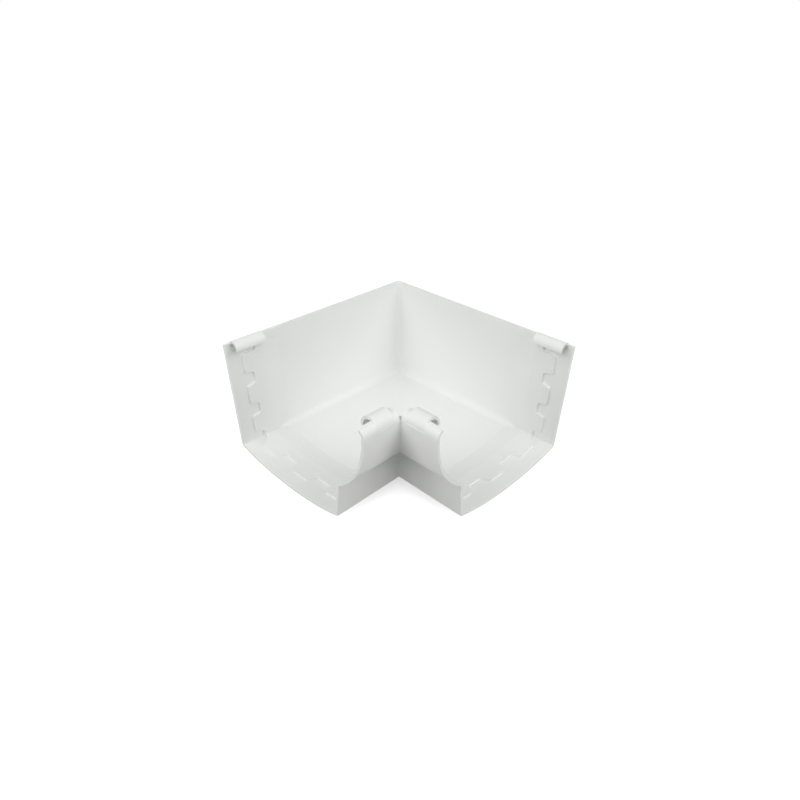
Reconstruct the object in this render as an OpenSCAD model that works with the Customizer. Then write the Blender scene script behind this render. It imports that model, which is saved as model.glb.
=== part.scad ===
// Internal gutter angle: one moulding that joins two gutters round the inside corner of a building.
// Each arm is one gutter section. Its stations are counted along the arm from the outer back corner,
// and its section is drawn as [b, z]: b in from the back plane, z up from the floor's lowest line.

/* [Arms] */
// Length of each arm's front, from the corner of the lips to the arm's end
front_l = 30.2; // [27:0.1:150]
// Thickness of the moulded wall
wall_t = 2.2; // [1.8:0.1:2.8]
// Radius inside the upright corner where the two back walls meet
corner_in_r = 3; // [1:0.5:6]
// Radius outside that corner
corner_out_r = 1.5; // [0.5:0.5:4]

/* [Section] */
// Height of the back wall over the floor's lowest line
back_h = 97.5; // [96:0.5:130]
// Distance from the back plane to the floor's lowest line
floor_low = 57; // [50:1:64]
// Radius of the shallow floor
floor_r = 233; // [190:1:300]
// Lean of the skirt out of upright, in degrees
skirt_lean = 7.5; // [0:0.5:12]
// Width of the whole section, from the back plane to the front of the lip
section_w = 149.8; // [140:0.1:160]
// How far the lip stands out past the foot of the skirt
lip_out = 30.8; // [28:0.1:34]
// Height at which the ovolo turns upright and the lip's roll begins
lip_z = 90; // [86:1:94]
// Outer radius of the ovolo
ovolo_r = 62; // [56:1:66]
// Outer radius between the back wall and the floor
heel_out_r = 4; // [1:0.5:6]
// Inner radius between the back wall and the floor, in the body of the fitting
heel_in_r = 7; // [3:0.5:10]
// Outer radius at the foot of the skirt
foot_out_r = 1.5; // [0.5:0.5:4]
// Inner radius at the foot of the skirt
foot_in_r = 3; // [1:0.5:6]

/* [Stop rib] */
// Height of the rib over the socket's surface, which is the thickness of the gutter it stops
rib_t = 2.2; // [1.5:0.1:3]
// Distance from the arm's end to the tips of the teeth
socket_l = 12; // [8:0.5:16]
// Length of the teeth, from tip to root
tooth_l = 7.5; // [4:0.5:9]
// Distance from the arm's end to the rib's inner edge
rib_inner = 30; // [27:0.5:34]
// Length of the slope that brings the rib down to the body
ramp_l = 15; // [6:1:24]
// Radius on the corners of the teeth, seen square on
tooth_r = 1.6; // [0.5:0.1:2]
// Distance from the back wall's top down to the rib's top
rib_down = 7.5; // [6:0.5:9]
// Distance from the arm's end to the step over the top tooth
step_back = 23.3; // [21:0.5:26]

/* [Back wall teeth] */
// Height of the middle of the lowest tooth
wall_tooth_z = 23.9; // [22:0.1:26]
// Distance from the back wall's top down to the middle of the highest tooth
wall_tooth_down = 19; // [18:0.5:22]
// Least distance from one tooth to the next
wall_pitch_min = 24; // [20:1:27]
// Width of a tooth at its tip
wall_tip = 15; // [10:0.5:16]
// Width of a tooth at its root
wall_root = 18; // [16:0.5:20]

/* [Floor teeth] */
// Distance from the back plane to the middle of the first tooth
floor_tooth_b = 20.2; // [19:0.1:22]
// Distance from the foot of the skirt to the middle of the last tooth
floor_tooth_in = 19.4; // [18:0.1:22]
// Least distance from one tooth to the next
floor_pitch_min = 34; // [28:1:39]
// Width of a tooth at its tip
floor_tip = 16; // [10:0.5:18]
// Width of a tooth at its root
floor_root = 25.5; // [20:0.5:27]

/* [Front teeth] */
// Number of teeth round the ovolo
ovolo_teeth = 2; // [1:1:3]
// Angle from one ovolo tooth to the next
ovolo_pitch = 28; // [22:1:30]
// Angle of the highest gap between ovolo teeth, below the lip
ovolo_gap_top = 3; // [0:1:8]
// Width of the gap between two front teeth at their roots
front_gap = 9; // [6:0.5:11]
// Slant of a front tooth's side over its length
front_slant = 2; // [0:0.5:3]

/* [Hooks] */
// Outer radius of the hook over the gutter's back edge
hook_r = 5.6; // [5:0.1:7]
// Distance from the back wall's top down to the hook's centre
hook_down = 3; // [1:0.5:4]
// Distance from the arm's end to the hook
hook_back = 5; // [2:0.5:8]
// Outer radius of the roll along the front lip
roll_r = 6; // [5:0.1:7]
// Outer radius of the clip, the wider stretch of the roll that grips the gutter's front bead
clip_r = 7.4; // [6.6:0.1:8]
// How far the clip's front stands back from the front of the lip
clip_in = 0.3; // [0.2:0.1:0.3]
// Distance from the arm's end to the clip
clip_back = 11; // [8:0.5:14]
// Distance from the arm's end to the clip's inner end
clip_inner = 26; // [22:0.5:27]
// Thickness of the hook, the roll and the clip
hook_t = 1.8; // [1.4:0.1:2.2]
// Length of their lips below the centre
hook_drop = 1; // [0.5:0.5:3]
// Distance from the arm's end to their closed inner ends
hook_inner = 29.5; // [28:0.5:30]

/* [Hidden] */
$fn = 96;
floor_fn = 360;
arc_steps = 4;
// Overlap of two solids that join, and overrun of a cut
lap = 0.5;
// How far a fillet's arc runs past its walls, so that it crosses them cleanly
cross = 0.005;
// Outer length of each arm along its back wall
arm_l = section_w + front_l;
// Longer than the fitting in any direction
far = 2 * arm_l;

tip_a = arm_l - socket_l;
root_a = tip_a - tooth_l;
rib_a = arm_l - rib_inner;
ramp_a = rib_a - ramp_l;
step_a = arm_l - step_back;
hook_a = arm_l - hook_inner;
clip_a0 = arm_l - clip_inner;
clip_a1 = arm_l - clip_back;

floor_w = section_w - lip_out;
rib_top = back_h - rib_down;
hook_z = back_h - hook_down;
wall_span = back_h - wall_tooth_down - wall_tooth_z;
floor_span = floor_w - floor_tooth_in - floor_tooth_b;

// Centres of the floor's and the ovolo's arcs, and the foot of the skirt
floor_c = [floor_low, floor_r];
ovolo_c = [section_w - ovolo_r, lip_z];
foot = [floor_w, floor_r - sqrt(pow(floor_r, 2) - pow(floor_w - floor_low, 2))];
// Directions up a wall and out of it, for the back wall and for the skirt
back_up = [0, 1];
back_out = [-1, 0];
skirt_up = [sin(skirt_lean), cos(skirt_lean)];
skirt_out = [cos(skirt_lean), -sin(skirt_lean)];
heel_b = wall_t + rib_t + lap;
// A height inside the floor's thickness at the corner of the back walls
in_floor = floor(floor_r - sqrt(pow(floor_r, 2) - pow(floor_low, 2))) + 1;

function unit(v) = v / norm(v);

// Where a straight wall through p meets the floor, both moved inwards by k
function seat(p, up, out, k) =
    let (q = p - k * out, w = q - floor_c, h = w * up)
    q - (h + sqrt(h * h - w * w + pow(floor_r - k, 2))) * up;

// The arc of radius r that rounds corner q between its neighbours p and s
function rounding(p, q, s, r) =
    let (
        u = unit(p - q), v = unit(s - q), half = acos(u * v) / 2,
        c = q + unit(u + v) * r / sin(half),
        start = q + u * r / tan(half) - c,
        turn = (u[0] * v[1] - u[1] * v[0] > 0 ? -1 : 1) * (180 - 2 * half),
        angle = atan2(start[1], start[0])
    )
    [for (k = [0:arc_steps]) c + r * [cos(angle + turn * k / arc_steps), sin(angle + turn * k / arc_steps)]];

// A line of points with every corner rounded but its two ends
function rounded(pts, r) = [
    for (i = [0:len(pts) - 1])
        each (i == 0 || i == len(pts) - 1 ? [pts[i]] : rounding(pts[i - 1], pts[i], pts[i + 1], r))
];

// Corners of a row of teeth along s, as [s, station]: from low to high, root, tip, tip, root.
// As many teeth as the least pitch allows are spread evenly over the span.
function row(first, span, pitch_min, tip_w, root_w) =
    let (last = max(1, floor(span / pitch_min)))
    [
        for (i = [0:last], side = [-1, 1], end = side < 0 ? [0, 1] : [1, 0])
            [first + i * span / last + side * (end == 1 ? tip_w : root_w) / 2, end == 1 ? tip_a : root_a]
    ];

// Extrudes a drawing of the section along the arm, from station a0 to a1
module along_arm(a0, a1) {
    translate([a0, 0, 0]) rotate([90, 0, 90]) linear_extrude(height = a1 - a0) children();
}

// A slab behind a bent plane. Here and below, line is a list of [station, inset] along the arm.
module slab(line) {
    last = line[len(line) - 1];
    translate([0, 0, -far]) linear_extrude(height = 2 * far)
        polygon(concat(line, [[last[0], far], [line[0][0], far]]));
}

// A round bar along the arm, of radius r less the inset
module bar(c, r, line) {
    last = line[len(line) - 1];
    outline = concat([[0, line[0][0]]], [for (p = line) [r - p[1], p[0]]], [[0, last[0]]]);
    translate([0, c[0], c[1]]) rotate([0, 90, 0]) rotate_extrude() polygon(outline);
}

// The room inside the section, with its walls moved inwards along the line. The skirt bends a little
// later than the arcs beside it, so that no two bends end in one point.
module room(line) {
    later = [for (p = line) [p[0] + lap, p[1]]];
    intersection() {
        slab(line);
        bar(floor_c, floor_r, line, $fn = floor_fn);
        union() {
            translate([0, foot[0], foot[1]]) rotate([-skirt_lean, 0, 0]) mirror([0, 1, 0]) slab(later);
            bar(ovolo_c, ovolo_r, line, $fn = 2 * $fn);
        }
    }
}

// Everything under the height of the back wall at the back and of the lip at the front
module below(back_top, front_top) {
    polygon([
        [-lap, -far], [section_w + lap, -far], [section_w + lap, front_top],
        [section_w / 2, front_top], [section_w / 2, back_top], [-lap, back_top]
    ]);
}

// What lies between an arc of radius r and the corner of a wall with the floor, both inset by d
module corner(p, up, out, d, r) {
    c = seat(p, up, out, d + r);
    down = unit(c - floor_c);
    difference() {
        polygon([
            c, c + r * out, c + (r + lap) * out, seat(p, up, out, d - lap),
            floor_c + (floor_r - d + lap) * down, floor_c + (floor_r - d) * down
        ]);
        translate(c) circle(r = r + cross);
    }
}

// Half of a disc of radius r, over its centre
module half_disc(r) {
    intersection() {
        circle(r = r);
        translate([-r, 0]) square([2 * r, r]);
    }
}

// A hook of outer radius r along the arm, round centre c, opening down. It grows out of the wall
// at its low b when wall_side is -1, and at its high b when wall_side is 1.
module hook(c, r, wall_side, a0, a1) {
    mid = r - hook_t / 2;
    along_arm(a0, a1) translate(c) {
        difference() {
            half_disc(r);
            circle(r = r - hook_t);
        }
        translate([-wall_side * mid - hook_t / 2, -hook_drop]) square([hook_t, hook_drop + lap / 2]);
        translate([wall_side * mid - hook_t / 4, -hook_drop]) square([hook_t / 2, hook_drop + lap / 2]);
    }
}

// The wall that closes a hook's inner end
module hook_end(c, r, a0) {
    mid = r - hook_t / 2;
    along_arm(a0, a0 + hook_t) translate(c) {
        half_disc(mid);
        translate([-mid, -hook_drop]) square([2 * mid, hook_drop + lap / 2]);
    }
}

// The hook over the gutter's back edge, and the roll and clip over its front bead
module hooks() {
    back_c = [hook_r, hook_z];
    roll_c = [section_w - roll_r, lip_z];
    hook(back_c, hook_r, -1, hook_a, arm_l - hook_back);
    hook_end(back_c, hook_r, hook_a);
    hook(roll_c, roll_r, 1, hook_a, clip_a0 + lap);
    hook_end(roll_c, roll_r, hook_a);
    hook([section_w - clip_in - clip_r, lip_z], clip_r, 1, clip_a0, clip_a1);
    hook(roll_c, roll_r, 1, clip_a1 - lap, arm_l);
}

// What the castellated edge leaves open, as a cutter drawn in [s, station] and cut to depth
module toothed_cut(pts, depth) {
    line = concat([[pts[0][0], far]], rounded(pts, tooth_r), [[pts[len(pts) - 1][0], far]]);
    linear_extrude(height = depth) polygon(line);
}

// The gaps between the teeth on the back wall, the floor, the skirt and the ovolo
module wall_gaps() {
    teeth = row(wall_tooth_z, wall_span, wall_pitch_min, wall_tip, wall_root);
    top_tip = teeth[len(teeth) - 2];
    line = concat(
        [[-heel_out_r, root_a]],
        [for (i = [0:len(teeth) - 2]) teeth[i]],
        [[top_tip[0] + lap, step_a], [back_h, step_a]]
    );
    rotate([-90, -90, 0]) toothed_cut(line, heel_b);
}

module floor_gaps() {
    teeth = row(floor_tooth_b, floor_span, floor_pitch_min, floor_tip, floor_root);
    line = concat([[wall_t + rib_t / 2, root_a]], teeth, [[floor_w, root_a]]);
    mirror([1, -1, 0]) toothed_cut(line, foot[1] + heel_b);
}

module front_gap(angle) {
    translate([0, ovolo_c[0], ovolo_c[1]]) rotate([-angle, 0, 0]) translate([0, ovolo_r / 2, 0])
        rotate([-90, -90, 0]) linear_extrude(height = ovolo_r) polygon(concat(
            [[-front_gap, far]],
            rounded([
                [-front_gap, tip_a], [-front_gap / 2 - front_slant, tip_a], [-front_gap / 2, root_a],
                [front_gap / 2, root_a], [front_gap / 2 + front_slant, tip_a], [front_gap, tip_a]
            ], tooth_r),
            [[front_gap, far]]
        ));
}

// The castellated rib that stops the gutter, and the slope behind it
module stop_rib() {
    reach = wall_t + rib_t;
    slope = rib_t / ramp_l;
    difference() {
        intersection() {
            room([[ramp_a - 2 * lap, wall_t - lap], [tip_a, wall_t - lap]]);
            along_arm(0, arm_l) below(rib_top, lip_z);
        }
        room([[ramp_a - 6 * lap, wall_t - 6 * lap * slope], [rib_a, reach], [tip_a + lap, reach]]);
        wall_gaps();
        floor_gaps();
        for (i = [0:ovolo_teeth]) front_gap(ovolo_gap_top + i * ovolo_pitch);
    }
}

// The plain wall of the section, and its rounded corners
module shell() {
    difference() {
        intersection() {
            room([[0, 0], [arm_l, 0]]);
            along_arm(0, arm_l) below(back_h, lip_z);
        }
        room([[-lap, wall_t], [arm_l + lap, wall_t]]);
        along_arm(-lap, arm_l + lap) {
            corner([0, 0], back_up, back_out, 0, heel_out_r);
            corner(foot, skirt_up, skirt_out, 0, foot_out_r);
        }
        along_arm(hook_a, arm_l - hook_back) translate([-lap, hook_z]) square([hook_r, back_h]);
    }
    along_arm(0, rib_a) corner([0, 0], back_up, back_out, wall_t, heel_in_r);
    along_arm(0, arm_l) corner(foot, skirt_up, skirt_out, wall_t, foot_in_r);
}

// One arm, cut off at the mitre
module arm() {
    intersection() {
        union() {
            shell();
            stop_rib();
            hooks();
        }
        translate([0, 0, -far]) linear_extrude(height = 2 * far)
            polygon([[-lap, -lap], [far, -lap], [far, far]]);
    }
}

// What lies between an upright arc of radius r and the corner of the two back walls, inset by d
module upright_corner(d, r) {
    difference() {
        translate([d - lap, d - lap]) square(r + lap);
        translate([d + r, d + r]) circle(r = r + cross);
    }
}

module gutter_angle() {
    color("white") translate([-arm_l / 2, -arm_l / 2, 0]) {
        difference() {
            union() {
                arm();
                mirror([1, -1, 0]) arm();
            }
            translate([0, 0, -lap]) linear_extrude(height = back_h + 2 * lap) upright_corner(0, corner_out_r);
        }
        translate([0, 0, in_floor]) linear_extrude(height = back_h - in_floor) upright_corner(wall_t, corner_in_r);
    }
}

gutter_angle();
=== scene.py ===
import bpy
from math import cos, pi, radians, sin
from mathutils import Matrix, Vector
from mathutils.bvhtree import BVHTree
from mathutils.geometry import barycentric_transform


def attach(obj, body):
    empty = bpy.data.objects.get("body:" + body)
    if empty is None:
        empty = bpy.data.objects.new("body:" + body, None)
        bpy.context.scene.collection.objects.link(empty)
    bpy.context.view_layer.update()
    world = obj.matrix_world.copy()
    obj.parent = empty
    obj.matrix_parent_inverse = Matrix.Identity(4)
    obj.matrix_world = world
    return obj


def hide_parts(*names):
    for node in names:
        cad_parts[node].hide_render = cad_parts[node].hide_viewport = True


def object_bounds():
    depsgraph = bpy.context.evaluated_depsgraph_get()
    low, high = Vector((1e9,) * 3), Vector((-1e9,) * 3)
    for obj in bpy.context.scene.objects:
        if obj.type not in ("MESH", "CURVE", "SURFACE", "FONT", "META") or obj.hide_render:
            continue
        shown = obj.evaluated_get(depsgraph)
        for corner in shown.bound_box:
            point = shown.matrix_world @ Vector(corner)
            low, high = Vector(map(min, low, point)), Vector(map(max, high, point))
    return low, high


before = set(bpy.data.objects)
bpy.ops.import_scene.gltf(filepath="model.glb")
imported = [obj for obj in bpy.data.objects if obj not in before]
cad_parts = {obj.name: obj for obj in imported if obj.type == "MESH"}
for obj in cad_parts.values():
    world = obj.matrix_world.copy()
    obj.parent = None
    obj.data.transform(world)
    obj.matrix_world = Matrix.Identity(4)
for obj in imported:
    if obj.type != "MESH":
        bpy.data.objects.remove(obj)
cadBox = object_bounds()
scene = bpy.context.scene
pureWhite = (1.0, 1.0, 1.0, 1.0)


def selectOnly(obj):
    bpy.ops.object.select_all(action='DESELECT')
    bpy.context.view_layer.objects.active = obj
    obj.select_set(True)


def addNode(tree, kind, place, **values):
    node = tree.nodes.new(kind)
    node.location = place
    for name, value in values.items():
        setattr(node, name, value)
    return node


# white PVC as it leaves the mould: satin, with a slow drift of colour and faint streaks of flow
pvc = {
    "colour": (0.865, 0.875, 0.86, 1.0),
    "dullColour": (0.835, 0.848, 0.828, 1.0),
    "refraction": 1.53,
    "gloss": (0.30, 0.46),          # roughness, from the shiniest streak to the dullest
    "streakRange": (0.3, 0.7),      # the part of the streaks' noise that goes from one to the other
    "streakLength": 0.12,           # below 1 draws the streaks out up the walls
    "drift": (13.0, 3.0, 0.6),      # scale, detail and distortion, as for the three below
    "streak": (55.0, 4.0, 0.0),
    "grain": (850.0, 2.0, 0.0),
    "wave": (24.0, 1.0, 0.0),       # the slight unevenness of a cooled wall
    "grainHeight": 0.00003,
    "waveHeight": 0.00012,
    "bumpStrength": 0.5,
}


def addNoise(tree, coords, place, recipe):
    noise = addNode(tree, 'ShaderNodeTexNoise', place)
    for name, value in zip(("Scale", "Detail", "Distortion"), recipe):
        noise.inputs[name].default_value = value
    tree.links.new(coords, noise.inputs["Vector"])
    return noise.outputs["Fac"]


def addBump(tree, height, place, strength, distance):
    bump = addNode(tree, 'ShaderNodeBump', place)
    bump.inputs["Strength"].default_value = strength
    bump.inputs["Distance"].default_value = distance
    tree.links.new(height, bump.inputs["Height"])
    return bump


def makePvc(settings):
    material = bpy.data.materials.new("whitePvc")
    material.use_nodes = True
    tree = material.node_tree
    link = tree.links.new
    shader = tree.nodes["Principled BSDF"]
    shader.inputs["IOR"].default_value = settings["refraction"]
    coords = addNode(tree, 'ShaderNodeTexCoord', (-1300, 0)).outputs["Object"]
    draw = addNode(tree, 'ShaderNodeMapping', (-1100, -50))
    draw.inputs["Scale"].default_value = (1.0, 1.0, settings["streakLength"])
    link(coords, draw.inputs["Vector"])

    drift = addNoise(tree, coords, (-850, 300), settings["drift"])
    tint = addNode(tree, 'ShaderNodeMix', (-350, 300), data_type='RGBA')
    tint.inputs["A"].default_value = settings["colour"]
    tint.inputs["B"].default_value = settings["dullColour"]
    link(drift, tint.inputs["Factor"])
    link(tint.outputs["Result"], shader.inputs["Base Color"])

    streak = addNoise(tree, draw.outputs["Vector"], (-850, 30), settings["streak"])
    sheen = addNode(tree, 'ShaderNodeMapRange', (-350, 30))
    limits = settings["streakRange"] + settings["gloss"]
    for name, value in zip(("From Min", "From Max", "To Min", "To Max"), limits):
        sheen.inputs[name].default_value = value
    link(streak, sheen.inputs["Value"])
    link(sheen.outputs["Result"], shader.inputs["Roughness"])

    wave = addNoise(tree, coords, (-850, -500), settings["wave"])
    broad = addBump(tree, wave, (-550, -500), settings["bumpStrength"], settings["waveHeight"])
    grain = addNoise(tree, coords, (-850, -240), settings["grain"])
    fine = addBump(tree, grain, (-350, -240), settings["bumpStrength"], settings["grainHeight"])
    link(broad.outputs["Normal"], fine.inputs["Normal"])
    link(fine.outputs["Normal"], shader.inputs["Normal"])
    return material


whitePvc = makePvc(pvc)
print("material made:", whitePvc.name)

# the moulding is a merged copy of the CAD solid, trimmed at the ends of its front lips
moulding = {
    "weld": 0.00001,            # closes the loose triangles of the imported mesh
    "trimFrom": 0.0785,         # along the arm, where the inner half of the lip stops
    "trimBack": 0.0420,         # between the lip and the back wall
    "trimFront": 0.0553,        # outside this the lip goes on as a quarter roll
    "trimLow": 0.0870,          # above the stop rib, below the roll
    "trimPast": 0.0020,         # how far the cut runs out past the moulding
    "sharp": 28.0,              # degrees over which a long edge is rounded
    "longEdge": 0.0050,         # shorter edges stay crisp, as on the teeth
    "edgeRound": 0.00025,
    "edgeSteps": 3,
    "smooth": 40.0,             # degrees under which two faces are shaded as one
    "reach": 0.00002,           # how near a point must be to the CAD's surface to take its slope
    "lean": 10.0,               # degrees between two faces that count as turned the same way
}


def mergedCopy(node, name, weld):
    selectOnly(node)
    bpy.ops.object.duplicate()
    copy = bpy.context.view_layer.objects.active
    copy.name = name
    bpy.ops.object.mode_set(mode='EDIT')
    bpy.ops.mesh.select_all(action='SELECT')
    bpy.ops.mesh.remove_doubles(threshold=weld)
    bpy.ops.object.mode_set(mode='OBJECT')
    return copy


def cutAway(target, low, high):
    bpy.ops.object.select_all(action='DESELECT')
    bpy.ops.mesh.primitive_cube_add(size=1.0, location=(low + high) / 2, scale=high - low)
    cutter = bpy.context.object
    selectOnly(target)
    bpy.ops.object.modifier_add(type='BOOLEAN')
    cut = target.modifiers[-1]
    cut.operation = 'DIFFERENCE'
    cut.solver = 'EXACT'
    cut.object = cutter
    bpy.ops.object.modifier_apply(modifier=cut.name)
    selectOnly(cutter)
    bpy.ops.object.delete()


def trimLips(target, settings, box):
    armEnd, top = box[1][0] + settings["trimPast"], box[1][2] + settings["trimPast"]
    low = Vector((settings["trimFrom"], settings["trimBack"], settings["trimLow"]))
    high = Vector((armEnd, settings["trimFront"], top))
    cutAway(target, low, high)
    cutAway(target, low.yxz, high.yxz)      # the other arm is the first one mirrored


def roundLongEdges(target, settings):
    selectOnly(target)
    bpy.ops.object.mode_set(mode='EDIT')
    bpy.ops.mesh.select_mode(type='EDGE')
    bpy.ops.mesh.select_all(action='DESELECT')
    bpy.ops.mesh.edges_select_sharp(sharpness=radians(settings["sharp"]))
    bpy.ops.object.mode_set(mode='OBJECT')
    corners = target.data.vertices
    rounding = target.data.attributes.new("bevel_weight_edge", 'FLOAT', 'EDGE')
    for edge in target.data.edges:
        first, last = (corners[v].co for v in edge.vertices)
        if edge.select and (last - first).length > settings["longEdge"]:
            rounding.data[edge.index].value = 1.0
    bpy.ops.object.modifier_add(type='BEVEL')
    soften = target.modifiers[-1]
    soften.width = settings["edgeRound"]
    soften.segments = settings["edgeSteps"]
    soften.limit_method = 'WEIGHT'
    soften.use_clamp_overlap = False
    bpy.ops.object.modifier_apply(modifier=soften.name)


# the CAD mesh knows the true slope of each curved face, which merging and trimming lose
def takeSlopes(source, target, reach, lean):
    known = source.data
    points = [v.co.copy() for v in known.vertices]
    triangles = [tuple(p.vertices) for p in known.polygons]
    nearby = BVHTree.FromPolygons(points, triangles)
    slopes = []
    for face in target.data.polygons:
        for corner in face.loop_indices:
            point = target.data.vertices[target.data.loops[corner].vertex_index].co
            slope = target.data.corner_normals[corner].vector.copy()
            leastTurn = lean
            for hit in nearby.find_nearest_range(point, reach):
                facing, index = hit[1], hit[2]
                turned = facing.angle(face.normal, pi)
                if turned < leastTurn:
                    ends = [points[v] for v in triangles[index]]
                    tilts = [known.corner_normals[c].vector for c in known.polygons[index].loop_indices]
                    found = barycentric_transform(point, *ends, *tilts)
                    if found.length > 0.5:      # a sliver can give a false slope, far from length 1
                        slope = found.normalized()
                        leastTurn = turned
            slopes.append(slope)
    target.data.normals_split_custom_set(slopes)


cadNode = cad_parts["gutter_angle"]
angle = mergedCopy(cadNode, "gutterAngle", moulding["weld"])
trimLips(angle, moulding, cadBox)
print("lips trimmed:", len(angle.data.polygons), "faces")

roundLongEdges(angle, moulding)
angle.data.materials.clear()
angle.data.materials.append(whitePvc)
bpy.ops.object.shade_smooth_by_angle(angle=radians(moulding["smooth"]))
takeSlopes(cadNode, angle, moulding["reach"], radians(moulding["lean"]))
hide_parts("gutter_angle")
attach(angle, "root")
print("moulding made:", len(angle.data.polygons), "faces")

# floor and lamps
studio = {
    "floorSize": 40.0,
    "floorDrop": 0.0002,                        # keeps the floor clear of the moulding's underside
    "floorGrey": (0.15, 0.15, 0.15, 1.0),       # what the floor throws back at the moulding
    "floorGlow": (0.6, 0.6, 0.6, 1.0),          # keeps the floor white to the camera and in reflections
    "roomLight": 0.446,
    "lamps": {                  # azimuth and height in degrees, distance and size in metres, watts
        "highLeft": (110, 45, 1.6, 0.9, 3.1),
        "highRight": (-20, 45, 1.6, 0.9, 3.1),
        "lowLeft": (90, 30, 1.6, 0.9, 7.3),
        "lowRight": (0, 30, 1.6, 0.9, 7.3),
    },
}


# 1 where the camera, a reflection or glass shows the surface, 0 where it only gives light
def addShown(tree):
    rays = addNode(tree, 'ShaderNodeLightPath', (-900, 200))
    direct = addNode(tree, 'ShaderNodeMath', (-700, 200), operation='MAXIMUM')
    shown = addNode(tree, 'ShaderNodeMath', (-500, 200), operation='MAXIMUM')
    tree.links.new(rays.outputs["Is Camera Ray"], direct.inputs[0])
    tree.links.new(rays.outputs["Is Glossy Ray"], direct.inputs[1])
    tree.links.new(direct.outputs["Value"], shown.inputs[0])
    tree.links.new(rays.outputs["Is Transmission Ray"], shown.inputs[1])
    return shown.outputs["Value"]


def makeFloorPaint(settings):
    material = bpy.data.materials.new("paleFloor")
    material.use_nodes = True
    tree = material.node_tree
    link = tree.links.new
    tree.nodes.remove(tree.nodes["Principled BSDF"])
    shown = addShown(tree)
    paper = addNode(tree, 'ShaderNodeMix', (-300, 200), data_type='RGBA')
    paper.inputs["A"].default_value = settings["floorGrey"]
    paper.inputs["B"].default_value = pureWhite
    diffuse = addNode(tree, 'ShaderNodeBsdfDiffuse', (-50, 200))
    glow = addNode(tree, 'ShaderNodeEmission', (-50, 0))
    glow.inputs["Color"].default_value = settings["floorGlow"]
    both = addNode(tree, 'ShaderNodeAddShader', (150, 100))
    link(shown, paper.inputs["Factor"])
    link(shown, glow.inputs["Strength"])
    link(paper.outputs["Result"], diffuse.inputs["Color"])
    link(diffuse.outputs["BSDF"], both.inputs[0])
    link(glow.outputs["Emission"], both.inputs[1])
    link(both.outputs["Shader"], tree.nodes["Material Output"].inputs["Surface"])
    return material


def makeRoom(settings):
    room = bpy.data.worlds.new("softRoom")
    room.use_nodes = True
    tree = room.node_tree
    around = tree.nodes["Background"]
    around.inputs["Color"].default_value = pureWhite
    amount = addNode(tree, 'ShaderNodeMix', (-200, 0))
    amount.inputs["A"].default_value = settings["roomLight"]
    amount.inputs["B"].default_value = 1.0
    tree.links.new(addShown(tree), amount.inputs["Factor"])
    tree.links.new(amount.outputs["Result"], around.inputs["Strength"])
    return room


def addLamp(name, turn, height, distance, size, watts):
    level = cos(radians(height))
    away = Vector((cos(radians(turn)) * level, sin(radians(turn)) * level, sin(radians(height))))
    facing = away.to_track_quat('Z', 'Y').to_euler()
    bpy.ops.object.light_add(type='AREA', location=away * distance, rotation=facing)
    lamp = bpy.context.object
    lamp.name = name
    lamp.data.shape = 'DISK'
    lamp.data.size = size
    lamp.data.energy = watts


bpy.ops.object.select_all(action='DESELECT')
bpy.ops.mesh.primitive_plane_add(size=studio["floorSize"], location=(0, 0, -studio["floorDrop"]))
ground = bpy.context.object
ground.name = "studioFloor"
ground.data.materials.append(makeFloorPaint(studio))
scene.world = makeRoom(studio)
for lampName, lampValues in studio["lamps"].items():
    addLamp(lampName, *lampValues)
print("floor and lamps made")

# the camera stands where the photograph was taken
view = {
    "place": (0.2621, 0.2568, 0.2830),
    "turn": (52.025, -0.484, 134.617),      # degrees
    "sensorWidth": 36.0,
    "lens": 25.26,
    "shiftY": 0.07,
    "nearest": 0.01,
}
bpy.ops.object.camera_add(location=view["place"], rotation=[radians(v) for v in view["turn"]])
camera = bpy.context.object
camera.data.sensor_width = view["sensorWidth"]
camera.data.lens = view["lens"]
camera.data.shift_y = view["shiftY"]
camera.data.clip_start = view["nearest"]
scene.camera = camera
scene.view_settings.view_transform = 'Standard'
print("camera placed")
